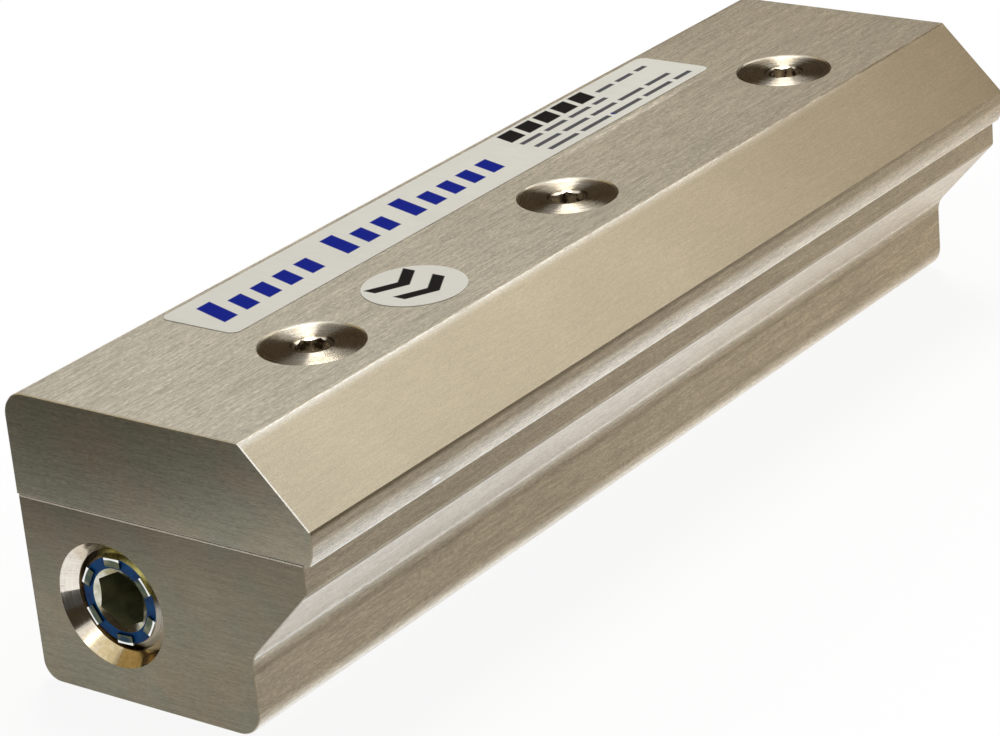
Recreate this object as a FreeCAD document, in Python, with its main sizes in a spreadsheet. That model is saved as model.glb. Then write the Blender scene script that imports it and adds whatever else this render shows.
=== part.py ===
import FreeCAD, Part
import math
import os
import Sketcher
from types import SimpleNamespace

# Compressed air knife, 6 inch. Millimetres.
# X runs along the knife with the plugged inlet at -X, the air leaves the slot towards -Y and
# the cap is on top, +Z. The origin is the centre of the footprint on the body's bottom face.

SIZES = {
    # whole knife
    "knife_length": 152.4,
    "knife_depth": 43.5,
    "knife_height": 36.6,
    "edge_break": 0.12,
    # body section
    "body_height": 23.5,
    "body_back_step": 0.2,
    "lip_setback": 1.65,
    "lip_height": 3.6,
    "foot_setback": 10.75,
    "foot_height": 10.05,
    "lip_corner_radius": 0.8,
    "undercut_radius": 3.2,
    "foot_corner_radius": 3.2,
    "heel_radius": 2.4,
    # air inlets, one in each end
    "port_from_back": 12.4,
    "port_height": 12.1,
    "port_bore_dia": 12.6,
    "port_countersink_dia": 15.5,
    "port_countersink_angle": 82.0,
    "end_wall": 18.0,
    # plenum, front gallery and the passages between them
    "plenum_width": 13.4,
    "plenum_floor": 5.2,
    "plenum_corner_radius": 3.0,
    "gallery_from_back": 34.4,
    "gallery_width": 7.6,
    "gallery_depth": 4.0,
    "gallery_end_wall": 3.5,
    "gallery_corner_radius": 2.0,
    "passage_width": 32.0,
    "passage_depth": 6.0,
    # cap section
    "nose_radius": 6.35,
    "nose_crest_height": 2.9,
    "nose_top_height": 1.35,
    "cap_crest_radius": 0.5,
    "cap_back_radius": 3.2,
    # cap screws, flat head with hexagon socket
    "screw_end_distance": 25.4,
    "screw_from_back": 24.6,
    "screw_head_dia": 12.5,
    "screw_head_angle": 82.0,
    "screw_head_recess": 0.15,
    "screw_shank_dia": 6.35,
    "screw_core_dia": 5.1,
    "screw_length": 25.4,
    "screw_shank_short": 1.0,
    "screw_socket_across": 3.97,
    "screw_socket_depth": 2.6,
    "screw_socket_mouth_dia": 5.2,
    "screw_seat_clearance": 0.02,
    "screw_turn_near": 14.0,
    "screw_turn_middle": 38.0,
    "screw_turn_far": 5.0,
    "screw_hole_clearance": 0.2,
    "tapped_clearance": 0.05,
    "tapped_overrun": 2.0,
    # tapped mounting holes in the bottom face
    "mounting_bore_dia": 5.2,
    "mounting_bore_depth": 9.5,
    # slot shim
    "shim_thickness": 0.1,
    "shim_inset": 0.3,
    "shim_spine_to_gallery": 0.6,
    "shim_tip_setback": 0.8,
    "shim_finger_width": 2.7,
    "shim_window_count": 12,
    "shim_hole_clearance": 0.35,
    # pipe plug
    "plug_recess": 1.5,
    "plug_length": 10.2,
    "plug_clearance": 0.04,
    "plug_face_dia": 10.7,
    "plug_mouth_dia": 7.96,
    "plug_socket_across": 6.35,
    "plug_socket_depth": 6.0,
    "plug_pad_height": 0.3,
    "plug_pad_width": 2.3,
    "plug_pad_length": 1.1,
    "plug_turn": 3.7,
    "plug_pad_turn": -6.3,
    # stuck-on labels
    "label_thickness": 0.1,
    "strip_end_distance": 23.6,
    "strip_length": 100.7,
    "strip_back": 3.2,
    "strip_front": 14.7,
    "strip_corner_radius": 1.3,
    "round_label_dia": 12.7,
    "round_label_end_distance": 44.1,
    "round_label_from_back": 25.1,
}

SHEET = "Sizes"


class Size:
    """A length together with the sheet expression that drives it."""

    def __init__(self, value, text):
        self.value = value
        self.text = text

    @staticmethod
    def of(other):
        if isinstance(other, Size):
            return other
        return Size(other, repr(other))

    def joined(self, other, sign, value):
        return Size(value, "({} {} {})".format(self.text, sign, other.text))

    def __add__(self, other):
        other = Size.of(other)
        return self.joined(other, "+", self.value + other.value)

    def __sub__(self, other):
        other = Size.of(other)
        return self.joined(other, "-", self.value - other.value)

    def __mul__(self, other):
        other = Size.of(other)
        return self.joined(other, "*", self.value * other.value)

    def __truediv__(self, other):
        other = Size.of(other)
        return self.joined(other, "/", self.value / other.value)

    def __neg__(self):
        return Size(-self.value, "(0 - {})".format(self.text))


def tangent(angle):
    """The tangent of an angle in degrees."""
    return Size(math.tan(math.radians(angle.value)), "tan({} * 1deg)".format(angle.text))


def root(square):
    """The square root of a number."""
    return Size(math.sqrt(square.value), "sqrt({})".format(square.text))


def chord_half(radius, distance):
    """Half the chord of a circle at a distance from its centre."""
    return root(radius * radius - distance * distance)


def fill_sheet(doc):
    """Write the driving sizes into the sheet and return them as named sizes."""
    sheet = doc.addObject("Spreadsheet::Sheet", SHEET)
    named = SimpleNamespace()
    for row, (name, value) in enumerate(SIZES.items(), start=1):
        sheet.set("A{}".format(row), name)
        sheet.set("B{}".format(row), str(value))
        sheet.setAlias("B{}".format(row), name)
        setattr(named, name, Size(float(value), "{}.{}".format(SHEET, name)))
    doc.recompute()
    return named


def bind(feature, prop, size):
    """Drive one property of a feature from the sheet."""
    feature.setExpression(prop, size.text)


def new_body(doc, label):
    body = doc.addObject("PartDesign::Body", label)
    body.Label = label
    return body


def origin_plane(body, role):
    for item in body.Origin.OriginFeatures:
        if item.Role == role:
            return item
    raise ValueError("no origin plane " + role)


def new_sketch(body, name, role, offset=None, turn=None):
    """A sketch on one of the body's own origin planes, moved along and turned about its normal."""
    sketch = body.newObject("Sketcher::SketchObject", name)
    sketch.AttachmentSupport = [(origin_plane(body, role), "")]
    sketch.MapMode = "FlatFace"
    if offset is not None:
        spin = FreeCAD.Rotation(FreeCAD.Vector(0, 0, 1), turn.value if turn else 0.0)
        sketch.AttachmentOffset = FreeCAD.Placement(FreeCAD.Vector(0, 0, offset.value), spin)
        bind(sketch, "AttachmentOffset.Base.z", offset)
    return sketch


def drive(sketch, constraint, size):
    """Add a dimension to the sketch and drive it from the sheet."""
    number = sketch.addConstraint(constraint)
    sketch.setExpression("Constraints[{}]".format(number), size.text)


def locate(sketch, geometry, end, across, up):
    """Fix a point of the sketch at two driven distances from the sketch's origin."""
    drive(sketch, Sketcher.Constraint("DistanceX", -1, 1, geometry, end, across.value), across)
    drive(sketch, Sketcher.Constraint("DistanceY", -1, 1, geometry, end, up.value), up)


def line(sketch, start, end):
    """A straight edge between two driven points."""
    first = FreeCAD.Vector(start[0].value, start[1].value, 0)
    last = FreeCAD.Vector(end[0].value, end[1].value, 0)
    return sketch.addGeometry(Part.LineSegment(first, last), False)


def outline(sketch, points):
    """A closed outline of straight edges through driven points."""
    count = len(points)
    edges = [line(sketch, points[i], points[(i + 1) % count]) for i in range(count)]
    for i in range(count):
        sketch.addConstraint(Sketcher.Constraint("Coincident", edges[i], 2, edges[(i + 1) % count], 1))
        locate(sketch, edges[i], 1, *points[i])
    return edges


def rectangle(sketch, low_across, high_across, low_up, high_up):
    return outline(sketch, [
        (low_across, low_up),
        (high_across, low_up),
        (high_across, high_up),
        (low_across, high_up),
    ])


def circle(sketch, across, up, diameter):
    """A circle with a driven centre and diameter."""
    centre = FreeCAD.Vector(across.value, up.value, 0)
    ring = sketch.addGeometry(Part.Circle(centre, FreeCAD.Vector(0, 0, 1), diameter.value / 2), False)
    locate(sketch, ring, 3, across, up)
    drive(sketch, Sketcher.Constraint("Diameter", ring, diameter.value), diameter)
    return ring


def arc(sketch, centre, radius, start, end):
    """An arc about a driven centre, anticlockwise from start to end."""
    middle = FreeCAD.Vector(centre[0].value, centre[1].value, 0)
    ring = Part.Circle(middle, FreeCAD.Vector(0, 0, 1), radius.value)
    angles = []
    for point in (start, end):
        angles.append(math.atan2(point[1].value - middle.y, point[0].value - middle.x))
    if angles[1] < angles[0]:
        angles[1] += 2 * math.pi
    return sketch.addGeometry(Part.ArcOfCircle(ring, angles[0], angles[1]), False)


def pad(body, name, sketch, length, midplane=False, reverse=False):
    feature = body.newObject("PartDesign::Pad", name)
    feature.Profile = sketch
    feature.Midplane = midplane
    feature.Reversed = reverse
    bind(feature, "Length", length)
    return feature


def pocket(body, name, sketch, length, reverse=False):
    feature = body.newObject("PartDesign::Pocket", name)
    feature.Profile = sketch
    feature.Reversed = reverse
    bind(feature, "Length", length)
    return feature


def repeat(doc, body, name, feature, axis, length, count):
    """A row of copies of a feature along one of the body's origin axes."""
    row = body.newObject("PartDesign::LinearPattern", name)
    row.Originals = [feature]
    row.Direction = (origin_plane(body, axis), [""])
    row.Occurrences = count
    bind(row, "Length", length)
    body.Tip = row
    doc.recompute()
    return row


def mirror(doc, body, name, feature, role):
    """The same feature again on the other side of an origin plane."""
    copy = body.newObject("PartDesign::Mirrored", name)
    copy.Originals = [feature]
    copy.MirrorPlane = (origin_plane(body, role), [""])
    body.Tip = copy
    doc.recompute()
    return copy


def edge_names(shape, wanted):
    """The names of the edges that a test picks out."""
    return ["Edge{}".format(i) for i, edge in enumerate(shape.Edges, start=1) if wanted(edge)]


def runs_along_x_at(across, up):
    """A test for the long edge through a point of the section."""
    def wanted(edge):
        box = edge.BoundBox
        long_edge = box.XLength > 1 and box.YLength < 1e-4 and box.ZLength < 1e-4
        near = abs(box.YMin - across.value) < 1e-3 and abs(box.ZMin - up.value) < 1e-3
        return long_edge and near
    return wanted


def fillet(doc, body, name, wanted, radius):
    base = body.Tip
    feature = body.newObject("PartDesign::Fillet", name)
    feature.Base = (base, edge_names(base.Shape, wanted))
    bind(feature, "Radius", radius)
    doc.recompute()
    return feature


def chamfer(doc, body, name, wanted, size):
    base = body.Tip
    feature = body.newObject("PartDesign::Chamfer", name)
    feature.Base = (base, edge_names(base.Shape, wanted))
    bind(feature, "Size", size)
    doc.recompute()
    return feature


def on_end_faces(knife_length):
    """A test for the outline of the two end faces, without the round mouths of the ports."""
    half = knife_length.value / 2

    def wanted(edge):
        box = edge.BoundBox
        on_end = box.XLength < 1e-4 and abs(abs(box.XMin) - half) < 1e-3
        full_circle = len(edge.Vertexes) == 1
        return on_end and not full_circle
    return wanted


def countersunk_hole(doc, body, name, sketch, sizes):
    """A drilled hole with a conical mouth."""
    doc.recompute()
    hole = body.newObject("PartDesign::Hole", name)
    hole.Profile = sketch
    hole.Threaded = False
    hole.HoleCutType = "Countersink"
    hole.DepthType = "Dimension"
    hole.DrillPoint = "Flat"
    hole.Reversed = sizes.reverse
    bind(hole, "Diameter", sizes.bore)
    bind(hole, "Depth", sizes.depth)
    bind(hole, "HoleCutDiameter", sizes.mouth)
    bind(hole, "HoleCutCountersinkAngle", sizes.angle)
    doc.recompute()
    return hole


def drilled_hole(doc, body, name, sketch, bore, depth, reverse=False):
    """A blind hole with a drill point, tapped on the real piece."""
    doc.recompute()
    hole = body.newObject("PartDesign::Hole", name)
    hole.Profile = sketch
    hole.Threaded = False
    hole.DepthType = "Dimension"
    hole.DrillPoint = "Angled"
    hole.Reversed = reverse
    bind(hole, "Diameter", bore)
    bind(hole, "Depth", depth)
    doc.recompute()
    return hole


def layout(s):
    """The shared lines and planes that mating pieces are placed from."""
    g = SimpleNamespace()
    g.zero = s.knife_length * 0.0
    g.end = s.knife_length / 2
    g.cap_back = s.knife_depth / 2
    g.crest = -(s.knife_depth / 2)
    g.body_back = g.cap_back - s.body_back_step
    g.lip_front = g.crest + s.lip_setback
    g.foot_front = g.crest + s.foot_setback
    g.cap_bottom = s.body_height + s.shim_thickness
    g.screw_line = g.cap_back - s.screw_from_back
    g.screw_pitch = g.end - s.screw_end_distance
    g.port_line = g.cap_back - s.port_from_back
    g.plenum_back = g.port_line + s.plenum_width / 2
    g.plenum_front = g.port_line - s.plenum_width / 2
    g.gallery_line = g.cap_back - s.gallery_from_back
    g.gallery_back = g.gallery_line + s.gallery_width / 2
    g.gallery_front = g.gallery_line - s.gallery_width / 2
    g.plenum_end = g.end - s.end_wall
    g.gallery_end = g.end - s.gallery_end_wall
    g.head_top = s.knife_height - s.screw_head_recess
    g.screw_slope = tangent(s.screw_head_angle / 2)
    g.screw_hole = s.screw_shank_dia + s.screw_hole_clearance * 2
    g.tapped_dia = s.screw_core_dia + s.tapped_clearance * 2
    g.screw_mouth = s.screw_head_dia + (s.screw_head_recess * g.screw_slope + s.screw_seat_clearance) * 2
    g.screw_tip = g.head_top - s.screw_length
    return g


def row_of_holes(body, name, role, offset, g, s, diameter):
    """A sketch with the first circle of the row of cap screws."""
    sketch = new_sketch(body, name, role, offset)
    circle(sketch, -g.screw_pitch, g.screw_line, diameter)
    return sketch


def make_body(doc, s, g):
    """The plenum body: the long section, the air ways milled from the top, ports and tapped holes."""
    body = new_body(doc, "body")
    section = new_sketch(body, "BodySection", "YZ_Plane")
    outline(section, [
        (g.body_back, g.zero),
        (g.body_back, s.body_height),
        (g.lip_front, s.body_height),
        (g.lip_front, s.body_height - s.lip_height),
        (g.foot_front, s.foot_height),
        (g.foot_front, g.zero),
    ])
    pad(body, "BodyBlock", section, s.knife_length, midplane=True)
    doc.recompute()

    lip_bottom = s.body_height - s.lip_height
    fillet(doc, body, "Undercut", runs_along_x_at(g.foot_front, s.foot_height), s.undercut_radius)
    fillet(doc, body, "LipCorner", runs_along_x_at(g.lip_front, lip_bottom), s.lip_corner_radius)
    fillet(doc, body, "FootCorner", runs_along_x_at(g.foot_front, g.zero), s.foot_corner_radius)
    fillet(doc, body, "Heel", runs_along_x_at(g.body_back, g.zero), s.heel_radius)
    chamfer(doc, body, "EndBreak", on_end_faces(s.knife_length), s.edge_break)

    plenum = new_sketch(body, "PlenumOutline", "XY_Plane", s.body_height)
    rectangle(plenum, -g.plenum_end, g.plenum_end, g.plenum_front, g.plenum_back)
    pocket(body, "Plenum", plenum, s.body_height - s.plenum_floor)
    doc.recompute()
    fillet(doc, body, "PlenumCorners", upright_edges(g.plenum_end, g.plenum_back, g.plenum_front),
           s.plenum_corner_radius)

    gallery = new_sketch(body, "GalleryOutline", "XY_Plane", s.body_height)
    rectangle(gallery, -g.gallery_end, g.gallery_end, g.gallery_front, g.gallery_back)
    pocket(body, "Gallery", gallery, s.gallery_depth)
    doc.recompute()
    fillet(doc, body, "GalleryCorners", upright_edges(g.gallery_end, g.gallery_back, g.gallery_front),
           s.gallery_corner_radius)

    passage = new_sketch(body, "PassageOutline", "XY_Plane", s.body_height)
    middle = g.screw_pitch / 2
    half = s.passage_width / 2
    rectangle(passage, middle - half, middle + half, g.gallery_back - s.gallery_width / 4,
              g.plenum_front + s.plenum_width / 4)
    way = pocket(body, "Passage", passage, s.passage_depth)
    doc.recompute()
    mirror(doc, body, "PassagePair", way, "YZ_Plane")

    port = new_sketch(body, "PortCircle", "YZ_Plane", g.end)
    circle(port, g.port_line, s.port_height, s.port_bore_dia)
    mouth = SimpleNamespace(
        bore=s.port_bore_dia,
        depth=s.end_wall + s.plenum_corner_radius,
        mouth=s.port_countersink_dia,
        angle=s.port_countersink_angle,
        reverse=False,
    )
    inlet = countersunk_hole(doc, body, "Inlet", port, mouth)
    mirror(doc, body, "InletPair", inlet, "YZ_Plane")

    first_screw = row_of_holes(body, "TappedCircle", "XY_Plane", s.body_height, g, s, g.tapped_dia)
    depth = s.body_height - g.screw_tip + s.tapped_overrun
    tapped = drilled_hole(doc, body, "Tapped", first_screw, g.tapped_dia, depth)
    repeat(doc, body, "TappedRow", tapped, "X_Axis", g.screw_pitch * 2, 3)

    foot = new_sketch(body, "MountingCircle", "XY_Plane", g.zero)
    circle(foot, g.screw_pitch / 2, g.screw_line, s.mounting_bore_dia)
    mount = drilled_hole(doc, body, "Mounting", foot, s.mounting_bore_dia, s.mounting_bore_depth, True)
    mirror(doc, body, "MountingPair", mount, "YZ_Plane")
    return body


def upright_edges(end, back, front):
    """A test for the four upright corner edges of a pocket."""
    def wanted(edge):
        box = edge.BoundBox
        upright = box.ZLength > 1 and box.XLength < 1e-4 and box.YLength < 1e-4
        at_end = abs(abs(box.XMin) - end.value) < 1e-3
        at_side = min(abs(box.YMin - back.value), abs(box.YMin - front.value)) < 1e-3
        return upright and at_end and at_side
    return wanted


def make_cap(doc, s, g):
    """The cap: chamfered top, rounded nose over the lip, countersunk holes."""
    body = new_body(doc, "cap")
    section = new_sketch(body, "CapSection", "YZ_Plane")
    centre_across = g.crest + s.nose_radius
    centre_up = g.cap_bottom + s.nose_crest_height
    break_up = centre_up + s.nose_top_height
    break_across = centre_across - chord_half(s.nose_radius, s.nose_top_height)
    tip_across = centre_across - chord_half(s.nose_radius, s.nose_crest_height)
    centre = (centre_across, centre_up)
    chamfer_low = (break_across, break_up)
    chamfer_top = (break_across + (s.knife_height - break_up), s.knife_height)
    tip = (tip_across, g.cap_bottom)
    points = [tip, (g.cap_back, g.cap_bottom), (g.cap_back, s.knife_height), chamfer_top, chamfer_low]
    edges = [line(section, points[i], points[i + 1]) for i in range(4)]
    nose = arc(section, centre, s.nose_radius, chamfer_low, tip)
    loop = edges + [nose]
    for i in range(5):
        section.addConstraint(Sketcher.Constraint("Coincident", loop[i], 2, loop[(i + 1) % 5], 1))
    for i in range(1, 4):
        locate(section, edges[i], 1, *points[i])
    locate(section, nose, 3, *centre)
    drive(section, Sketcher.Constraint("Radius", nose, s.nose_radius.value), s.nose_radius)
    drive(section, Sketcher.Constraint("DistanceY", -1, 1, nose, 1, break_up.value), break_up)
    drive(section, Sketcher.Constraint("DistanceY", -1, 1, nose, 2, g.cap_bottom.value), g.cap_bottom)
    pad(body, "CapBlock", section, s.knife_length, midplane=True)
    doc.recompute()

    fillet(doc, body, "BackEdge", runs_along_x_at(g.cap_back, s.knife_height), s.cap_back_radius)
    fillet(doc, body, "Crest", runs_along_x_at(*chamfer_top), s.cap_crest_radius)
    chamfer(doc, body, "EndBreak", on_end_faces(s.knife_length), s.edge_break)
    chamfer(doc, body, "LowerBackBreak", runs_along_x_at(g.cap_back, g.cap_bottom), s.edge_break)

    first_screw = row_of_holes(body, "ScrewCircle", "XY_Plane", s.knife_height, g, s, g.screw_hole)
    mouth = SimpleNamespace(
        bore=g.screw_hole,
        depth=s.knife_height - g.cap_bottom + s.shim_thickness,
        mouth=g.screw_mouth,
        angle=s.screw_head_angle,
        reverse=False,
    )
    hole = countersunk_hole(doc, body, "ScrewHole", first_screw, mouth)
    repeat(doc, body, "ScrewHoles", hole, "X_Axis", g.screw_pitch * 2, 3)
    return body


def make_shim(doc, s, g):
    """The slot shim: a sealing frame round the plenum, with fingers that reach to the lip."""
    body = new_body(doc, "shim")
    end = g.end - s.shim_inset
    back = g.body_back - s.shim_inset
    finger_tip = g.lip_front + s.shim_tip_setback
    blank = new_sketch(body, "Blank", "XY_Plane", s.body_height)
    rectangle(blank, -end, end, finger_tip, back)
    pad(body, "Sheet", blank, s.shim_thickness)
    doc.recompute()

    opening = new_sketch(body, "PlenumOpening", "XY_Plane", s.body_height)
    rectangle(opening, -g.plenum_end, g.plenum_end, g.plenum_front, g.plenum_back)
    pocket(body, "PlenumWindow", opening, s.shim_thickness, reverse=True)
    doc.recompute()
    fillet(doc, body, "WindowCorners", short_upright_edges(g.plenum_end, g.plenum_back, g.plenum_front),
           s.plenum_corner_radius)

    pitch = s.knife_length / s.shim_window_count
    width = pitch - s.shim_finger_width
    first = -(s.knife_length / 2) + pitch / 2
    notch = new_sketch(body, "NotchOutline", "XY_Plane", s.body_height)
    rectangle(notch, first - width / 2, first + width / 2, finger_tip - s.shim_tip_setback,
              g.gallery_back - s.shim_spine_to_gallery)
    cut = pocket(body, "Notch", notch, s.shim_thickness, reverse=True)
    doc.recompute()
    count = int(SIZES["shim_window_count"])
    repeat(doc, body, "Notches", cut, "X_Axis", s.knife_length - pitch, count)

    dia = g.screw_hole + s.shim_hole_clearance
    first_screw = row_of_holes(body, "ShimScrewCircle", "XY_Plane", s.body_height, g, s, dia)
    hole = pocket(body, "ShimScrewHole", first_screw, s.shim_thickness, reverse=True)
    doc.recompute()
    repeat(doc, body, "ShimScrewHoles", hole, "X_Axis", g.screw_pitch * 2, 3)
    return body


def short_upright_edges(end, back, front):
    """A test for the upright corner edges of an opening in thin sheet."""
    def wanted(edge):
        box = edge.BoundBox
        upright = box.ZLength > 1e-3 and box.XLength < 1e-4 and box.YLength < 1e-4
        at_end = abs(abs(box.XMin) - end.value) < 1e-3
        at_side = min(abs(box.YMin - back.value), abs(box.YMin - front.value)) < 1e-3
        return upright and at_end and at_side
    return wanted


def hexagon(sketch, across_flats):
    """A regular hexagon about the sketch's origin, with a corner on the sketch's X axis."""
    corner = across_flats / root(Size(3.0, "3"))
    flat = across_flats / 2
    points = [
        (corner, flat * 0.0),
        (corner / 2, flat),
        (-(corner / 2), flat),
        (-corner, flat * 0.0),
        (-(corner / 2), -flat),
        (corner / 2, -flat),
    ]
    return outline(sketch, points)


def revolve(body, name, sketch, axis):
    feature = body.newObject("PartDesign::Revolution", name)
    feature.Profile = sketch
    feature.ReferenceAxis = (sketch, [axis])
    feature.Angle = 360
    return feature


def groove(body, name, sketch, axis):
    feature = body.newObject("PartDesign::Groove", name)
    feature.Profile = sketch
    feature.ReferenceAxis = (sketch, [axis])
    feature.Angle = 360
    return feature


def make_cap_screw(doc, s, g, label, place, turn):
    """A flat head cap screw, its origin on the axis at the top of the head."""
    body = new_body(doc, label)
    head = s.screw_head_dia / 2
    shank = s.screw_shank_dia / 2
    core = s.screw_core_dia / 2
    zero = g.zero
    seat = (head - shank) / g.screw_slope
    thread_top = g.head_top - g.cap_bottom - s.screw_shank_short
    profile = new_sketch(body, "Profile_" + label, "XZ_Plane")
    outline(profile, [
        (zero, zero),
        (head, zero),
        (shank, -seat),
        (shank, -thread_top),
        (core, -(thread_top + (shank - core))),
        (core, -(s.screw_length - core / 3)),
        (core * (2.0 / 3.0), -s.screw_length),
        (zero, -s.screw_length),
    ])
    revolve(body, "Turned_" + label, profile, "V_Axis")
    doc.recompute()

    mouth = s.screw_socket_mouth_dia / 2
    lead = new_sketch(body, "Lead_" + label, "XZ_Plane")
    outline(lead, [(zero, zero), (mouth, zero), (zero, -(mouth / 2))])
    groove(body, "SocketMouth_" + label, lead, "V_Axis")
    doc.recompute()

    socket = new_sketch(body, "Hexagon_" + label, "XY_Plane")
    hexagon(socket, s.screw_socket_across)
    pocket(body, "Socket_" + label, socket, s.screw_socket_depth)
    doc.recompute()

    spin = FreeCAD.Rotation(FreeCAD.Vector(0, 0, 1), turn.value)
    body.Placement = FreeCAD.Placement(FreeCAD.Vector(place.value, 0, 0), spin)
    bind(body, "Placement.Base.x", place)
    bind(body, "Placement.Base.y", g.screw_line)
    bind(body, "Placement.Base.z", g.head_top)
    doc.recompute()
    return body


def make_end_plug(doc, s, g):
    """The pipe plug in the inlet at -X, its origin on the axis in the plane of its face."""
    body = new_body(doc, "end_plug")
    thread = s.port_bore_dia / 2 - s.plug_clearance
    face = s.plug_face_dia / 2
    bevel = thread - face
    zero = g.zero
    profile = new_sketch(body, "PlugProfile", "XY_Plane")
    outline(profile, [
        (zero, zero),
        (zero, face),
        (bevel, thread),
        (s.plug_length - bevel, thread),
        (s.plug_length, face),
        (s.plug_length, zero),
    ])
    revolve(body, "PlugTurned", profile, "H_Axis")
    doc.recompute()

    block = new_sketch(body, "PadOutline", "YZ_Plane", g.zero, s.plug_pad_turn)
    half = s.plug_pad_width / 2
    rectangle(block, face - s.plug_pad_length, face, -half, half)
    raised = pad(body, "FacePad", block, s.plug_pad_height, reverse=True)
    doc.recompute()
    ring = body.newObject("PartDesign::PolarPattern", "FacePads")
    ring.Originals = [raised]
    ring.Axis = (origin_plane(body, "X_Axis"), [""])
    ring.Angle = 360
    ring.Occurrences = 6
    body.Tip = ring
    doc.recompute()

    mouth = s.plug_mouth_dia / 2
    lead = new_sketch(body, "PlugLead", "XY_Plane")
    outline(lead, [(zero, zero), (zero, mouth), (mouth / 2, zero)])
    groove(body, "PlugSocketMouth", lead, "H_Axis")
    doc.recompute()

    socket = new_sketch(body, "PlugHexagon", "YZ_Plane")
    hexagon(socket, s.plug_socket_across)
    pocket(body, "PlugSocket", socket, s.plug_socket_depth, reverse=True)
    doc.recompute()

    body.Placement = FreeCAD.Placement(
        FreeCAD.Vector(0, 0, 0),
        FreeCAD.Rotation(FreeCAD.Vector(1, 0, 0), 90 + s.plug_turn.value),
    )
    bind(body, "Placement.Base.x", s.plug_recess - g.end)
    bind(body, "Placement.Base.y", g.port_line)
    bind(body, "Placement.Base.z", s.port_height)
    doc.recompute()
    return body


def make_labels(doc, s, g):
    """The two stuck-on labels on the cap's top face."""
    strip = new_body(doc, "label_strip")
    blank = new_sketch(strip, "StripOutline", "XY_Plane", s.knife_height)
    start = s.strip_end_distance - g.end
    rectangle(blank, start, start + s.strip_length, g.cap_back - s.strip_front, g.cap_back - s.strip_back)
    pad(strip, "Strip", blank, s.label_thickness)
    doc.recompute()

    def corner(edge):
        box = edge.BoundBox
        return box.ZLength > 1e-3 and box.XLength < 1e-4 and box.YLength < 1e-4
    fillet(doc, strip, "StripCorners", corner, s.strip_corner_radius)

    disc = new_body(doc, "round_label")
    ring = new_sketch(disc, "DiscOutline", "XY_Plane", s.knife_height)
    along = s.round_label_end_distance - g.end
    circle(ring, along, g.cap_back - s.round_label_from_back, s.round_label_dia)
    pad(disc, "Disc", ring, s.label_thickness)
    doc.recompute()
    return [strip, disc]


def check(doc, pieces):
    """Stop on any failed object or invalid solid."""
    for item in doc.Objects:
        if "Invalid" in item.State or "Error" in item.State:
            raise RuntimeError("failed object: " + item.Label)
    for piece in pieces:
        shape = piece.Shape
        if shape.isNull() or not shape.isValid() or len(shape.Solids) != 1:
            raise RuntimeError("bad solid: " + piece.Label)


def main():
    doc = FreeCAD.newDocument("air_knife")
    s = fill_sheet(doc)
    g = layout(s)
    pieces = [make_body(doc, s, g), make_cap(doc, s, g), make_shim(doc, s, g)]
    pieces.append(make_cap_screw(doc, s, g, "cap_screw_1", -g.screw_pitch, s.screw_turn_near))
    pieces.append(make_cap_screw(doc, s, g, "cap_screw_2", g.zero, s.screw_turn_middle))
    pieces.append(make_cap_screw(doc, s, g, "cap_screw_3", g.screw_pitch, s.screw_turn_far))
    pieces.append(make_end_plug(doc, s, g))
    pieces.extend(make_labels(doc, s, g))
    doc.recompute()
    check(doc, pieces)
    os.makedirs("parts", exist_ok=True)
    for piece in pieces:
        piece.Shape.exportStep("parts/{}.step".format(piece.Label))
        print(piece.Label, round(piece.Shape.Volume, 2), piece.Shape.BoundBox)


main()
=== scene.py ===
import math

import bmesh
import bpy
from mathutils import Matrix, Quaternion, Vector


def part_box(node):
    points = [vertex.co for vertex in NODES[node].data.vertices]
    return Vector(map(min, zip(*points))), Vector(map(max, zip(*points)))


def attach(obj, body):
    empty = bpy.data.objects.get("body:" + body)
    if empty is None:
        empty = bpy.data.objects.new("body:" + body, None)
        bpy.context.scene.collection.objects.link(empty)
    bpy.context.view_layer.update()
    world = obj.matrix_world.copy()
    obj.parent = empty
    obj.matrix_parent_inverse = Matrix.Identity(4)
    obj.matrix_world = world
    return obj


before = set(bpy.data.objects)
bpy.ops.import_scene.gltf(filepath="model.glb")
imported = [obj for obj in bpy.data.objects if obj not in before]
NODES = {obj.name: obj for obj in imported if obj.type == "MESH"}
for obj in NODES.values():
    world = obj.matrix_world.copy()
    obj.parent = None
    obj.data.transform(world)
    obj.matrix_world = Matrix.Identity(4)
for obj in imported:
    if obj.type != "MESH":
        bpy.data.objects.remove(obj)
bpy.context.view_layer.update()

MM = 0.001

# The camera was solved from the photograph's edges, with the optical axis in the middle of the frame.
CAMERA_PLACE = Vector((-0.334972, -0.251319, 0.191150))
CAMERA_TARGET = Vector((0.0, 0.010215, 0.010961))
CAMERA_ROLL = math.radians(-5.417)
CAMERA_LENS = 129.33
SENSOR_WIDTH = 36.0

# Places on the knife that the finishes and the added pieces follow.
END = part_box("body")[1].x
CAP_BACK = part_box("cap")[1].y
CAP_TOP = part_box("cap")[1].z
CREST_Y = -12.85 * MM
PLUG_LOW, PLUG_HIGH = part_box("end_plug")
PORT_Y = (PLUG_LOW.y + PLUG_HIGH.y) / 2
PORT_Z = (PLUG_LOW.z + PLUG_HIGH.z) / 2
PORT_RADIUS = 6.3 * MM
PORT_MOUTH_RADIUS = 7.75 * MM
PORT_MOUTH_DEPTH = 1.67 * MM
SCREW_NAMES = ("cap_screw_1", "cap_screw_2", "cap_screw_3")
SCREW_LOW, SCREW_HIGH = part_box("cap_screw_2")
SCREW_Y = (SCREW_LOW.y + SCREW_HIGH.y) / 2
SCREW_PITCH = 50.8 * MM

ALONG = (1.0, 0.0, 0.0)
ACROSS = (0.0, 1.0, 0.0)
UPRIGHT = (0.0, 0.0, 1.0)
WHITE = (1.0, 1.0, 1.0)

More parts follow.
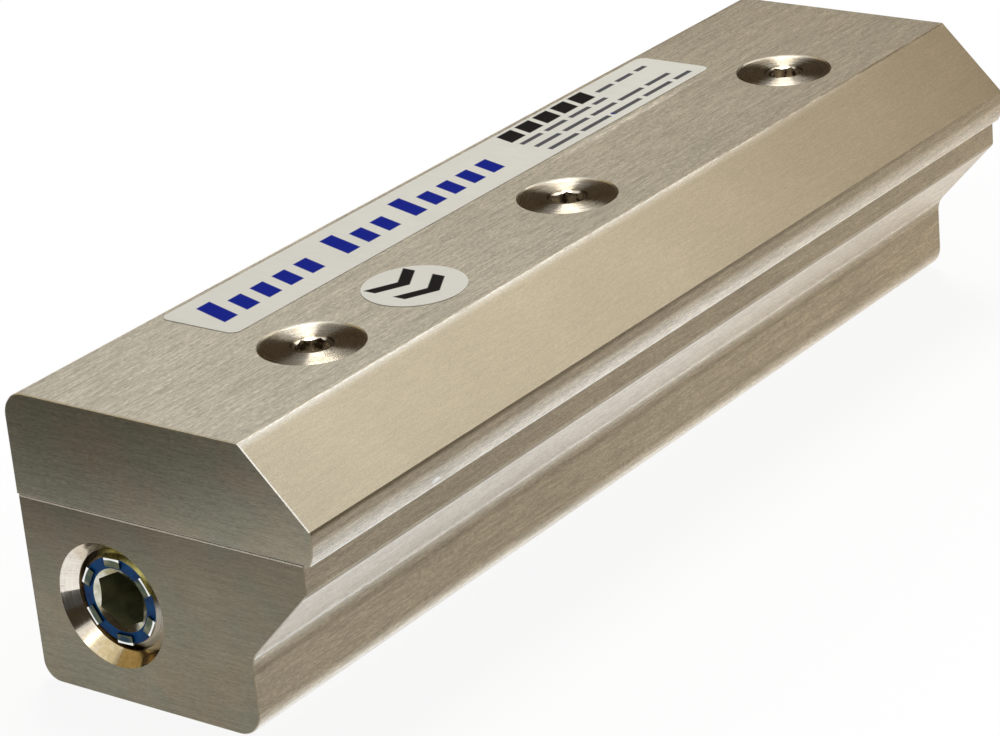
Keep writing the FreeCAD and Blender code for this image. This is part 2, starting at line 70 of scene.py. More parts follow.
# What is left of a place when it is seen along the knife, and when it is seen from above.
END_VIEW = (0.0, 1.0, 1.0)
TOP_VIEW = (1.0, 1.0, 0.0)

# Most of a noise texture's values lie in this range.
NOISE_RANGE = (0.3, 0.7)


class Shader:
    """A material's node tree with short calls for the nodes that the finishes use."""

    def __init__(self, name):
        self.material = bpy.data.materials.new(name)
        self.material.use_nodes = True
        self.tree = self.material.node_tree
        self.tree.nodes.clear()
        self.out = self.tree.nodes.new("ShaderNodeOutputMaterial")

    def node(self, kind, **settings):
        made = self.tree.nodes.new("ShaderNode" + kind)
        for name, value in settings.items():
            setattr(made, name, value)
        return made

    def feed(self, socket, value):
        """Link a node's output to a socket, or set the socket's own value."""
        if isinstance(value, bpy.types.NodeSocket):
            self.tree.links.new(value, socket)
        else:
            socket.default_value = value

    def math(self, operation, first, second=0.0, third=0.0):
        made = self.node("Math", operation=operation)
        for socket, value in zip(made.inputs, (first, second, third)):
            self.feed(socket, value)
        return made.outputs[0]

    def total(self, operation, values):
        """One operation applied through a list, such as the largest or the product of all."""
        result = values[0]
        for value in values[1:]:
            result = self.math(operation, result, value)
        return result

    def vector(self, operation, first, second=(0.0, 0.0, 0.0)):
        made = self.node("VectorMath", operation=operation)
        self.feed(made.inputs[0], first)
        self.feed(made.inputs[3 if operation == "SCALE" else 1], second)
        return made.outputs["Value" if operation in ("LENGTH", "DOT_PRODUCT") else "Vector"]

    def place(self):
        return self.node("TexCoord").outputs["Object"]

    def offset(self, centre, view):
        """The way from a point to the place, as far as a view shows it."""
        return self.vector("MULTIPLY", self.vector("SUBTRACT", self.place(), centre), view)

    def normal(self):
        return self.node("NewGeometry").outputs["Normal"]

    def split(self, vector):
        made = self.node("SeparateXYZ")
        self.feed(made.inputs[0], vector)
        return made.outputs

    def join(self, x, y, z):
        made = self.node("CombineXYZ")
        for socket, value in zip(made.inputs, (x, y, z)):
            self.feed(socket, value)
        return made.outputs[0]

    def noise(self, vector, scale=1.0, detail=2.0, roughness=0.5):
        made = self.node("TexNoise")
        self.feed(made.inputs["Vector"], vector)
        self.feed(made.inputs["Scale"], scale)
        self.feed(made.inputs["Detail"], detail)
        self.feed(made.inputs["Roughness"], roughness)
        return made.outputs["Fac"]

    def remap(self, value, low, high, to_low=0.0, to_high=1.0):
        made = self.node("MapRange", clamp=True)
        for socket, number in zip(made.inputs, (value, low, high, to_low, to_high)):
            self.feed(socket, number)
        return made.outputs[0]

    def spread(self, noise, low, high):
        """A noise drawn out to run between two values."""
        return self.remap(noise, *NOISE_RANGE, low, high)

    def inside(self, value, low, high, blur):
        """1 between two limits and 0 outside, with a soft step at each."""
        rise = self.remap(value, low - blur, low + blur)
        fall = self.remap(value, high - blur, high + blur, 1.0, 0.0)
        return self.math("MINIMUM", rise, fall)

    def ramp(self, value, stops):
        """A colour for a value from 0 to 1, through (position, colour) stops."""
        made = self.node("ValToRGB")
        self.feed(made.inputs[0], value)
        marks = made.color_ramp.elements
        while len(marks) < len(stops):
            marks.new(0.5)
        for mark, (position, colour) in zip(marks, stops):
            mark.position = position
            mark.color = (*colour, 1.0)
        return made.outputs[0]

    def mix(self, factor, first, second, blend="MIX"):
        made = self.node("Mix", data_type="RGBA", blend_type=blend)
        self.feed(made.inputs[0], factor)
        for socket, value in ((made.inputs[6], first), (made.inputs[7], second)):
            if not isinstance(value, bpy.types.NodeSocket):
                value = (*value, 1.0)
            self.feed(socket, value)
        return made.outputs[2]

    def shade(self, colour, light):
        """A colour made lighter or darker by a number."""
        return self.mix(1.0, colour, self.join(light, light, light), "MULTIPLY")

    def bump(self, height, distance, strength=1.0):
        made = self.node("Bump")
        self.feed(made.inputs["Height"], height)
        self.feed(made.inputs["Distance"], distance)
        self.feed(made.inputs["Strength"], strength)
        return made.outputs["Normal"]

    def surface(self, **inputs):
        """The material's one principled surface, with its inputs by name."""
        made = self.node("BsdfPrincipled")
        for name, value in inputs.items():
            self.feed(made.inputs[name.replace("_", " ")], value)
        self.tree.links.new(made.outputs[0], self.out.inputs[0])
        return self.material


def linear(red, green, blue):
    """A colour given as 8-bit screen values, in the renderer's linear values."""
    parts = []
    for part in (red, green, blue):
        part = part / 255
        parts.append(part / 12.92 if part <= 0.04045 else ((part + 0.055) / 1.055) ** 2.4)
    return tuple(parts)


# Grain of ground steel: (length, width, contrast) of its marks, from the finest to the widest.
GRAIN_MARKS = ((0.8 * MM, 0.1 * MM, 0.3), (3.2 * MM, 0.17 * MM, 0.19), (16.0 * MM, 0.6 * MM, 0.07))
GRAIN_RANGE = (0.32, 0.68)
GRAIN_ROUGHNESS = 0.55
SPECK_SIZE = 0.13 * MM
MARK_DEPTH = 0.003 * MM
STAIN_DEPTH = 0.02 * MM
# Painted light: how much browner the steel turns towards the far end.
FAR_END_TINT = (1.02, 0.962, 0.885)

# How fine the noise of each finish is, in marks to the metre.
CLOUD_SCALE = 70.0
RING_CLOUD_SCALE = 260.0
END_PATCH_SCALE = 150.0
STAIN_SCALE = 420.0
BEVEL_STAIN_SCALE = 520.0
PAD_STAIN_SCALE = 700.0
PORT_PATCH_SCALE = 900.0
PAINT_SCALE = 900.0
SOCKET_GLINT_SCALE = 1000.0
FILM_SCALE = 120.0
CLOTH_SCALE = 9.0
CARD_SCALE = 3.0

# Streaks across the port's mouth, to the radian.
PORT_STREAKS = 60.0


def grain(shader, along, length, width):
    """Noise drawn out along one direction, as grinding marks are."""
    scale = [1 / width] * 3
    scale[along.index(1.0)] = 1 / length
    return shader.noise(shader.vector("MULTIPLY", shader.place(), tuple(scale)), roughness=GRAIN_ROUGHNESS)


def ground_light(shader, along, strength, speckle):
    """How much lighter or darker than its tone ground steel is at each point, and its finest marks."""
    layers = []
    fine = None
    for length, width, contrast in GRAIN_MARKS:
        marks = grain(shader, along, length, width)
        fine = fine or marks
        contrast = contrast * strength
        layers.append(shader.remap(marks, *GRAIN_RANGE, 1 - contrast, 1 + contrast))
    speck = shader.noise(shader.place(), 1 / SPECK_SIZE, detail=1.0)
    layers.append(shader.spread(speck, 1 - speckle, 1 + speckle))
    cloudy = shader.noise(shader.place(), CLOUD_SCALE, detail=3.0)
    layers.append(shader.spread(cloudy, 0.965, 1.035))
    return shader.total("MULTIPLY", layers), fine


def painted(shader, tone):
    """The colour of a tone, which is a colour or a function of the shader that gives one."""
    return tone(shader) if callable(tone) else tone


def tinted_towards_far_end(shader, colour):
    """Painted light: the steel turns a little browner away from the plugged end, for the warmer light it
    reflects there.
    """
    along = shader.split(shader.place())[0]
    return shader.mix(shader.remap(along, -END, END), colour, shader.mix(1.0, colour, FAR_END_TINT, "MULTIPLY"))


def brushed(name, tone, along, strength=1.0, roughness=0.6, anisotropy=0.5, speckle=0.08, metallic=1.0):
    """Steel ground in one direction."""
    shader = Shader(name)
    light, fine = ground_light(shader, along, strength, speckle)
    colour = tinted_towards_far_end(shader, painted(shader, tone))
    return shader.surface(
        Base_Color=shader.shade(colour, light),
        Metallic=metallic,
        Roughness=shader.spread(fine, roughness - 0.05, roughness + 0.07),
        Anisotropic=anisotropy,
        Anisotropic_Rotation=0.25,
        Tangent=shader.join(*along),
        Normal=shader.bump(fine, MARK_DEPTH, 0.4),
    )


def turned(name, tone, centre, axis, roughness=0.4, anisotropy=0.95, ring=0.12 * MM, contrast=0.1):
    """Steel turned on a lathe: fine rings about an axis through a point."""
    shader = Shader(name)
    offset = shader.vector("SUBTRACT", shader.place(), tuple(centre))
    along = shader.vector("DOT_PRODUCT", offset, axis)
    flat = shader.vector("SUBTRACT", offset, shader.vector("SCALE", axis, along))
    radius = shader.vector("LENGTH", flat)
    across = shader.math("DIVIDE", radius, ring)
    rings = shader.noise(shader.join(across, shader.math("DIVIDE", along, ring), 0.0))
    cloudy = shader.noise(shader.place(), RING_CLOUD_SCALE)
    light = shader.math("MULTIPLY", shader.spread(rings, 1 - contrast, 1 + contrast),
                        shader.spread(cloudy, 0.93, 1.06))
    return shader.surface(
        Base_Color=shader.shade(painted(shader, tone), light),
        Metallic=1.0,
        Roughness=shader.spread(rings, roughness - 0.04, roughness + 0.05),
        Anisotropic=anisotropy,
        Anisotropic_Rotation=0.25,
        Tangent=shader.vector("NORMALIZE", shader.vector("CROSS_PRODUCT", axis, offset)),
        Normal=shader.bump(rings, MARK_DEPTH, 0.5),
    )


def reflection_by_tilt(shader, stops):
    """Painted reflection: a colour that follows how far a long face leans, from -1 facing down to 1 facing
    up.
    """
    up = shader.split(shader.normal())[2]
    scaled = [((tilt + 1) / 2, colour) for tilt, colour in stops]
    return shader.ramp(shader.remap(up, -1.0, 1.0), scaled)


def radial(point, y, z):
    return math.hypot(point.y - y, point.z - z)


def finish_faces(node, materials, pick):
    """Give a CAD node its materials and let pick choose one for each face by place and normal."""
    obj = NODES[node]
    obj.data.materials.clear()
    for material in materials:
        obj.data.materials.append(material)
    for face in obj.data.polygons:
        face.material_index = pick(face.center, face.normal)


def finish_whole(node, material):
    finish_faces(node, [material], lambda place, normal: 0)


# The kinds of face on the body and the cap, in the order of their materials.
LONG, END_FACE, EDGE, TURNED, CHAMFER, NOSE, JOINT = range(7)

# How a face's normal tells its kind.
SQUARE_ON = 0.95
EDGE_TILTS = (0.5, SQUARE_ON)
JOINT_TILT = -0.4
CHAMFER_TILTS = (0.69, 0.72)
CHAMFER_LEAN = -0.5
NOSE_TILT = 0.68

# How far each kind of face reaches.
END_REACH = 0.05 * MM
EDGE_REACH = 0.16 * MM
PORT_REACH = 21 * MM
PORT_MARGIN = 0.1 * MM
BACK_REACH = 2 * MM
SCREW_REACH = 6.6 * MM
HOLE_DEPTH = 0.01 * MM


def is_end(place, normal):
    return abs(normal.x) > SQUARE_ON and abs(place.x) > END - END_REACH


def on_end_edge(place, normal):
    return abs(place.x) > END - EDGE_REACH and EDGE_TILTS[0] < abs(normal.x) < EDGE_TILTS[1]


def body_face(place, normal):
    if is_end(place, normal):
        return END_FACE
    in_port = radial(place, PORT_Y, PORT_Z) < PORT_MOUTH_RADIUS + PORT_MARGIN
    if in_port and abs(place.x) > END - PORT_REACH:
        return TURNED
    return EDGE if on_end_edge(place, normal) else LONG


def cap_face(place, normal):
    if is_end(place, normal):
        return END_FACE
    if on_end_edge(place, normal):
        return JOINT if normal.z < JOINT_TILT else EDGE
    slopes = CHAMFER_TILTS[0] < normal.z < CHAMFER_TILTS[1] and normal.y < CHAMFER_LEAN
    if slopes and place.y < SCREW_Y - SCREW_REACH:
        return CHAMFER
    if abs(normal.z) < NOSE_TILT and (place.y < CREST_Y or place.y > CAP_BACK - BACK_REACH):
        return NOSE
    in_hole = abs(place.y - SCREW_Y) < SCREW_REACH and place.z < CAP_TOP - HOLE_DEPTH
    return TURNED if in_hole and abs(normal.z) < SQUARE_ON else LONG


# Tones of the metal. The pale, middle, brown, soft brown and nose tones are painted reflections that the
# long faces get by how they lean, and the dark tone is painted shade.
TOP_TONE = linear(172, 167, 154)
# The painted highlight on the broken edges at the ends.
EDGE_HIGHLIGHT_TONE = linear(240, 236, 226)
# A bright tone for the real rub on the top, and for the painted highlights on edges, lines, the crest and
# the joint.
WORN_AND_HIGHLIGHT_TONE = linear(250, 248, 240)
CREST_PLAIN_TONE = linear(150, 140, 120)
CHAMFER_TONE = linear(214, 205, 184)
CHAMFER_FAR_SHADE_TONE = linear(199, 188, 165)
PALE_TONE = linear(236, 230, 220)
NOSE_TONE = (0.62, 0.58, 0.51)
MIDDLE_TONE = linear(196, 187, 170)
BROWN_TONE = linear(160, 148, 127)
SOFT_BROWN_TONE = linear(170, 158, 137)
PAINTED_SHADE_TONE = linear(108, 96, 74)
CAP_END_TONE = linear(169, 164, 147)
BODY_END_TONE = linear(133, 127, 111)
# The tan that the front's painted reflections draw into at the far end.
FAR_REFLECTION_TONE = linear(178, 164, 136)
BORE_TONE = linear(226, 219, 203)
SHIM_TONE = linear(214, 208, 194)

# Painted reflections: tones by tilt, from -1 facing down to 1 facing up. The cap's crest has two sets beside
# the cap's own, with and without its painted highlight.
BODY_REFLECTION_TONES = ((-1.0, MIDDLE_TONE), (-0.95, MIDDLE_TONE), (-0.85, WORN_AND_HIGHLIGHT_TONE), (-0.7, PALE_TONE),
              (-0.5, PALE_TONE), (-0.3, MIDDLE_TONE), (-0.06, BROWN_TONE), (0.2, BROWN_TONE),
              (1.0, TOP_TONE))
CAP_REFLECTION_TONES = ((-0.46, WORN_AND_HIGHLIGHT_TONE), (-0.38, PALE_TONE), (-0.22, NOSE_TONE), (-0.1, MIDDLE_TONE),
             (0.0, BROWN_TONE), (0.1, SOFT_BROWN_TONE), (0.5, SOFT_BROWN_TONE), (0.65, CHAMFER_TONE))
CREST_HIGHLIGHT_TONES = ((0.72, WORN_AND_HIGHLIGHT_TONE), (0.84, WORN_AND_HIGHLIGHT_TONE), (0.94, MIDDLE_TONE), (0.985, TOP_TONE))
CREST_PLAIN_TONES = ((0.72, CHAMFER_TONE), (0.8, CREST_PLAIN_TONE), (0.97, CREST_PLAIN_TONE),
                      (0.99, TOP_TONE))
# Painted highlights on the broken edges at the ends, by tilt.
END_EDGE_HIGHLIGHT_TONES = ((-0.8, EDGE_HIGHLIGHT_TONE), (-0.2, BROWN_TONE), (0.2, BROWN_TONE), (0.45, EDGE_HIGHLIGHT_TONE),
                  (1.0, EDGE_HIGHLIGHT_TONE))

# The end faces drift from their tone to an olive and to a brown.
OLIVE_DRIFT = (0.97, 1.0, 0.98)
BROWN_DRIFT = (1.06, 1.0, 0.97)


def edge_highlight_tone(shader):
    """Painted highlights on the edges broken at the ends: bright beside the chamfer, soft beside the upright
    faces.
    """
    return reflection_by_tilt(shader, END_EDGE_HIGHLIGHT_TONES)


def end_tone(middle):
    """The end faces drift between an olive and a brown grey."""
    def tone(shader):
        patches = shader.noise(shader.place(), END_PATCH_SCALE)
        olive = tuple(a * b for a, b in zip(middle, OLIVE_DRIFT))
        brown = tuple(a * b for a, b in zip(middle, BROWN_DRIFT))
        return shader.ramp(patches, [(0.4, olive), (0.6, brown)])
    return tone


# Painted light on the front that changes with the height and not with the tilt: highlight lines, shade under
# the lip, a lighter foot and a dark line of shade at the foot.
FRONT_BLUR = 0.1 * MM
# How far the front's painted reflections draw into the tan at the far end.
FAR_REFLECTION_SHARE = 0.4
LINE_BLUR = 0.06 * MM
LINE_NICK_LENGTH, LINE_NICK_WIDTH = 5.0 * MM, 0.4 * MM
# Heights of the painted highlight lines on the slant.
SLANT_HIGHLIGHT_LINES = ((18.85 * MM, 19.2 * MM), (10.1 * MM, 10.4 * MM))
LIP_SHADE_HEIGHTS = (19.35 * MM, 20.0 * MM)
LIP_SHADE_BLUR = 0.15 * MM
LIP_SHADE_TONE = linear(166, 155, 134)
FOOT_LIGHT = 1.14
FOOT_LIGHT_HEIGHTS = (8.2 * MM, 9.2 * MM)
FOOT_SHADE_HEIGHTS = (8.1 * MM, 8.6 * MM)
FOOT_SHADE_BLUR = 0.25 * MM
FOOT_SHADE_SHARE = 0.35


def in_front(shader):
    """1 on the front half of the knife and 0 on the back half."""
    return shader.remap(shader.split(shader.place())[1], -FRONT_BLUR, FRONT_BLUR, 1.0, 0.0)


def faded_reflections(shader, colour):
    """Painted reflection: the front's tones draw together into a tan towards the far end."""
    along = shader.split(shader.place())[0]
    return shader.mix(shader.remap(along, 0.0, END, 0.0, FAR_REFLECTION_SHARE), colour, FAR_REFLECTION_TONE)


def highlight_lines(shader, colour, lines):
    """Painted highlight lines along the front's long edges, between pairs of heights."""
    up = shader.split(shader.place())[2]
    nicks = shader.remap(grain(shader, ALONG, LINE_NICK_LENGTH, LINE_NICK_WIDTH), 0.35, 0.55, 0.6, 1.0)
    for low, high in lines:
        line = shader.total("MULTIPLY", [shader.inside(up, low, high, LINE_BLUR), nicks, in_front(shader)])
        colour = shader.mix(line, colour, WORN_AND_HIGHLIGHT_TONE)
    return colour


def body_tone(shader):
    """The slant starts with painted shade as brown as the lip above it, with painted highlight lines along
    its edges and a painted dark line of shade at the foot.
    """
    up = shader.split(shader.place())[2]
    under_lip = shader.inside(up, *LIP_SHADE_HEIGHTS, LIP_SHADE_BLUR)
    under_lip = shader.math("MULTIPLY", under_lip, in_front(shader))
    colour = shader.mix(under_lip, reflection_by_tilt(shader, BODY_REFLECTION_TONES), LIP_SHADE_TONE)
    # Painted light: the foot is lighter below these heights.
    colour = shader.shade(colour, shader.remap(up, *FOOT_LIGHT_HEIGHTS, FOOT_LIGHT, 1.0))
    foot_shade = shader.inside(up, *FOOT_SHADE_HEIGHTS, FOOT_SHADE_BLUR)
    colour = shader.mix(shader.math("MULTIPLY", foot_shade, FOOT_SHADE_SHARE), colour, PAINTED_SHADE_TONE)
    return faded_reflections(shader, highlight_lines(shader, colour, SLANT_HIGHLIGHT_LINES))


PORT_TONE = linear(240, 233, 221)
PORT_GOLD_TONE = linear(212, 192, 148)
PORT_GOLD_SIDE = (0.0, -0.26, -0.97)
PORT_OXIDE_TONE = linear(120, 98, 72)
PORT_OXIDE_SHARE = 0.6


def port_tone(shader):
    """The port's mouth: gold in patches in its lower part, and short oxide streaks across the turning rings.
    """
    spoke = shader.vector("NORMALIZE", shader.offset((0.0, PORT_Y, PORT_Z), END_VIEW))
    streaks = shader.noise(spoke, PORT_STREAKS, detail=4.0, roughness=0.7)
    patches = shader.noise(shader.place(), PORT_PATCH_SCALE, detail=4.0, roughness=0.7)
    low = shader.remap(shader.vector("DOT_PRODUCT", spoke, PORT_GOLD_SIDE), 0.3, 0.75)
    stain = shader.math("MULTIPLY", low, shader.remap(patches, 0.3, 0.5, 0.6, 1.0))
    colour = shader.mix(stain, PORT_TONE, PORT_GOLD_TONE)
    marks = shader.math("MULTIPLY", shader.remap(streaks, 0.48, 0.66), shader.remap(patches, 0.42, 0.6))
    return shader.mix(shader.math("MULTIPLY", marks, PORT_OXIDE_SHARE), colour, PORT_OXIDE_TONE)


def dress_body():
    port = (0.0, PORT_Y, PORT_Z)
    finish_faces("body", [
        brushed("body_long", body_tone, ALONG, strength=0.85, roughness=0.4, anisotropy=0.75, speckle=0.15),
        brushed("body_end", end_tone(BODY_END_TONE), ACROSS, strength=0.6, roughness=0.34, anisotropy=0.6),
        brushed("body_edge", edge_highlight_tone, ALONG, strength=0.4, roughness=0.55, anisotropy=0.2),
        turned("body_turned", port_tone, port, ALONG, roughness=0.15, anisotropy=0.3),
    ], body_face)


# The painted highlight along the cap's front edge: where it fades out, and how far it reaches onto the
# chamfer.
CREST_HIGHLIGHT_ENDS = (2 * MM, 62 * MM)
CREST_NICK_LENGTH, CREST_NICK_WIDTH = 4.0 * MM, 0.7 * MM
CREST_HIGHLIGHT_REACH = (0.25 * MM, 1.3 * MM)

# The nose: a painted dark line of shade under the chamfer, a painted highlight line below, and a fleck of
# white dirt on it.
NOSE_TOP = 27.85 * MM
NOSE_SHADE_LOW, NOSE_SHADE_HIGH = NOSE_TOP - 0.7 * MM, NOSE_TOP - 0.3 * MM
NOSE_SHADE_FAR_SHARE = 0.2
NOSE_HIGHLIGHT_LINES = ((23.4 * MM, 23.85 * MM),)
FLECK_PLACE = (-53.9 * MM, -21.43 * MM, 24.5 * MM)
FLECK_REACH = 0.6 * MM
FLECK_SHAPE = (0.7, 1.3, 1.6)

# The rub on the top beside the label strip.
SCUFF_PLACE = (26 * MM, 6.0 * MM, CAP_TOP)
SCUFF_HALF_LENGTH, SCUFF_HALF_WIDTH = 20 * MM, 0.9 * MM
SCUFF_SHAPE = (1 / SCUFF_HALF_LENGTH, 1 / SCUFF_HALF_WIDTH, 0.0)
SCUFF_STREAK_LENGTH, SCUFF_STREAK_WIDTH = 3.0 * MM, 0.25 * MM
SCUFF_SHARE = 0.45


def crest_highlight(shader):
    """How strong the painted highlight on the cap's long edge is: most at the plugged end, in nicks further
    on.
    """
    along = shader.split(shader.place())[0]
    nicks = grain(shader, ALONG, CREST_NICK_LENGTH, CREST_NICK_WIDTH)
    fade = shader.remap(along, *CREST_HIGHLIGHT_ENDS, 1.0, 0.0)
    return shader.remap(shader.math("ADD", fade, shader.math("SUBTRACT", nicks, 0.5)), 0.0, 0.9)


def cap_tone(shader):
    """The cap's long faces, with the crest either in its painted highlight or without it."""
    rubbed = reflection_by_tilt(shader, CAP_REFLECTION_TONES + CREST_HIGHLIGHT_TONES)
    ground = reflection_by_tilt(shader, CAP_REFLECTION_TONES + CREST_PLAIN_TONES)
    return scuffed(shader, shader.mix(crest_highlight(shader), ground, rubbed))


def scuffed(shader, colour):
    """A faint pale rub on the top beside the label strip."""
    streaks = grain(shader, ALONG, SCUFF_STREAK_LENGTH, SCUFF_STREAK_WIDTH)
    distance = shader.vector("LENGTH", shader.offset(SCUFF_PLACE, SCUFF_SHAPE))
    rub = shader.remap(distance, 0.4, 1.0, SCUFF_SHARE, 0.0)
    return shader.mix(shader.math("MULTIPLY", rub, shader.remap(streaks, 0.35, 0.6)), colour, WORN_AND_HIGHLIGHT_TONE)


def chamfer_tone(shader):
    """The chamfer, with a painted highlight in a soft band along the crest and painted shade towards the far
    end.
    """
    distance = shader.vector("LENGTH", shader.offset((0.0, CREST_Y, CAP_TOP), END_VIEW))
    band = shader.remap(distance, *CREST_HIGHLIGHT_REACH, 1.0, 0.0)
    glow = shader.total("MULTIPLY", [band, band, crest_highlight(shader)])
    dull = shader.remap(shader.split(shader.place())[0], 0.0, END)
    return shader.mix(glow, shader.mix(dull, CHAMFER_TONE, CHAMFER_FAR_SHADE_TONE), WORN_AND_HIGHLIGHT_TONE)


def nose_tone(shader):
    """Front and back. In front the nose has painted shade under the chamfer and a painted highlight line
    below, with the fleck.
    """
    along, _, up = shader.split(shader.place())
    under_chamfer = shader.remap(up, NOSE_SHADE_LOW, NOSE_SHADE_HIGH)
    near = shader.remap(along, -END, END, 1.0, NOSE_SHADE_FAR_SHARE)
    dark = shader.total("MULTIPLY", [under_chamfer, near, in_front(shader)])
    colour = shader.mix(dark, cap_tone(shader), PAINTED_SHADE_TONE)
    colour = faded_reflections(shader, highlight_lines(shader, colour, NOSE_HIGHLIGHT_LINES))
    distance = shader.vector("LENGTH", shader.offset(FLECK_PLACE, FLECK_SHAPE))
    fleck = shader.remap(distance, 0.6 * FLECK_REACH, FLECK_REACH, 1.0, 0.0)
    return shader.mix(fleck, colour, WHITE)


def dress_cap():
    axis = (0.0, SCREW_Y, 0.0)
    finish_faces("cap", [
        brushed("cap_long", cap_tone, ALONG),
        brushed("cap_end", end_tone(CAP_END_TONE), ACROSS, strength=0.6, roughness=0.34, anisotropy=0.6),
        brushed("cap_edge", edge_highlight_tone, ALONG, strength=0.4, roughness=0.3, anisotropy=0.2),
        turned("cap_bore", BORE_TONE, axis, UPRIGHT, roughness=0.35, anisotropy=0.3),
        brushed("cap_chamfer", chamfer_tone, ALONG, strength=0.22, roughness=0.48, anisotropy=0.3,
                speckle=0.1),
        brushed("cap_nose", nose_tone, ALONG, strength=0.75, roughness=0.4, anisotropy=0.75, speckle=0.15),
        # The joint's broken edges at the ends: a painted highlight in the bright tone.
        brushed("cap_joint", WORN_AND_HIGHLIGHT_TONE, ALONG, strength=0.4, anisotropy=0.0, speckle=0.1, metallic=0.3),
    ], cap_face)


def dress_shim():
    finish_whole("shim", brushed("shim_rolled", SHIM_TONE, ALONG, strength=0.6, roughness=0.4))


SCREW_TONE = linear(226, 218, 202)
SCREW_STAIN_TONE = linear(186, 166, 126)
SCREW_STAIN_SHARE = 0.6
SCREW_RING = 0.1 * MM
LEAD_TONE = linear(216, 208, 192)
LEAD_OXIDE_TONE = linear(112, 100, 78)
LEAD_OXIDE_REACH = (2.3 * MM, 2.45 * MM)
LEAD_REACH = 2.7 * MM
LEAD_TILTS = (0.5, 0.98)
SCREW_TOP_DEPTH = 0.1 * MM
# Painted shade inside the screws' sockets, and painted glints in spots.
SOCKET_SHADE_TONE = linear(86, 70, 50)
SOCKET_GLINT_TONE = linear(244, 232, 208)

# The kinds of face on a screw, in the order of their materials.
SCREW_FACE, SCREW_LEAD, SCREW_SOCKET = range(3)


def screw_tone(shader):
    """A screw's flat face, with faint brown stains."""
    stain = shader.noise(shader.place(), STAIN_SCALE, detail=4.0, roughness=0.65)
    return shader.mix(shader.remap(stain, 0.45, 0.7, 0.0, SCREW_STAIN_SHARE), SCREW_TONE, SCREW_STAIN_TONE)


def lead_tone(centre):
    """The cone round a screw's socket: bare at the socket and oxidised towards the face."""
    def tone(shader):
        outer = shader.remap(shader.vector("LENGTH", shader.offset(centre, TOP_VIEW)), *LEAD_OXIDE_REACH)
        return shader.mix(outer, LEAD_TONE, LEAD_OXIDE_TONE)
    return tone


def shaded_socket_with_glints(name):
    """A screw's hexagon socket: painted shade inside, with painted glints in spots."""
    shader = Shader(name)
    glints = shader.noise(shader.place(), SOCKET_GLINT_SCALE, detail=3.0)
    return shader.surface(
        Base_Color=shader.ramp(glints, [(0.42, SOCKET_SHADE_TONE), (0.62, SOCKET_GLINT_TONE)]),
        Metallic=0.7,
        Roughness=shader.spread(glints, 0.4, 0.2),
        Normal=shader.bump(glints, 0.05 * MM, 0.6),
    )


def screw_face(centre):
    """A function that tells the kind of each face on the screw at a centre."""
    def pick(place, normal):
        if math.hypot(place.x - centre[0], place.y - centre[1]) > LEAD_REACH:
            return SCREW_FACE
        if LEAD_TILTS[0] < normal.z < LEAD_TILTS[1]:
            return SCREW_LEAD
        on_top = normal.z > LEAD_TILTS[1] and place.z > centre[2] - SCREW_TOP_DEPTH
        return SCREW_FACE if on_top else SCREW_SOCKET
    return pick


def dress_screws():
    for name in SCREW_NAMES:
        low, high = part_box(name)
        centre = ((low.x + high.x) / 2, (low.y + high.y) / 2, high.z)
        finish_faces(name, [
            turned(name + "_face", screw_tone, centre, UPRIGHT, roughness=0.25, anisotropy=1.0,
                   ring=SCREW_RING, contrast=0.25),
            turned(name + "_lead", lead_tone(centre), centre, UPRIGHT, roughness=0.16, anisotropy=0.3),
            shaded_socket_with_glints(name + "_socket"),
        ], screw_face(centre))


PLUG_PAD_HEIGHT = 0.3 * MM
PLUG_FACE_X = PLUG_LOW.x + PLUG_PAD_HEIGHT
PLUG_CENTRE = (PLUG_FACE_X, PORT_Y, PORT_Z)
PLUG_FACE_MARGIN = 0.02 * MM
PLUG_MOUTH = 3.781 * MM
PLUG_FACE = 5.35 * MM
PAD_RIM_HIGHLIGHT_REACH = (PLUG_FACE - 0.26 * MM, PLUG_FACE - 0.16 * MM)
BEVEL_RING = 0.16 * MM
LEAD_IN_TILTS = (0.3, 0.9)
PAINT_TONES = (linear(0, 56, 118), linear(6, 90, 158))
PAD_TONES = (linear(40, 58, 72), linear(84, 90, 70), linear(120, 122, 104))
PAD_RIM_HIGHLIGHT_TONE = linear(244, 246, 244)
BEVEL_TONES = (linear(44, 34, 28), linear(112, 100, 78))
GOLD_TONE = linear(186, 178, 104)
GOLD_SIDE = (0.0, -0.5, 0.86)
LOWER_FRONT_WHITE_TONE = linear(246, 244, 238)
LOWER_FRONT_SIDE = (0.0, -0.86, -0.5)
LEAD_IN_TONES = (linear(226, 226, 214), linear(160, 154, 120))
KEY_SOCKET_TONES = (linear(96, 100, 70), linear(128, 128, 92))

# The kinds of face on the plug, in the order of their materials.
BLUE, PAD, BEVEL, LEAD_IN, KEY_SOCKET = range(5)


def plug_face(place, normal):
    reach = radial(place, PORT_Y, PORT_Z)
    if place.x < PLUG_FACE_X - PLUG_FACE_MARGIN:
        return PAD
    if abs(normal.x) > SQUARE_ON and place.x < PLUG_FACE_X + PLUG_FACE_MARGIN and reach > PLUG_MOUTH:
        return BLUE
    if reach > PLUG_FACE:
        return BEVEL
    return LEAD_IN if LEAD_IN_TILTS[0] < abs(normal.x) < LEAD_IN_TILTS[1] else KEY_SOCKET


def blue_paint():
    """Glossy blue sealant on the plug's face, thinner in places."""
    shader = Shader("plug_blue")
    uneven = shader.noise(shader.place(), PAINT_SCALE, detail=3.0)
    return shader.surface(
        Base_Color=shader.ramp(uneven, list(zip(NOISE_RANGE, PAINT_TONES))),
        Roughness=shader.spread(uneven, 0.3, 0.45),
        Specular_IOR_Level=0.12,
        Normal=shader.bump(uneven, STAIN_DEPTH, 0.4),
    )


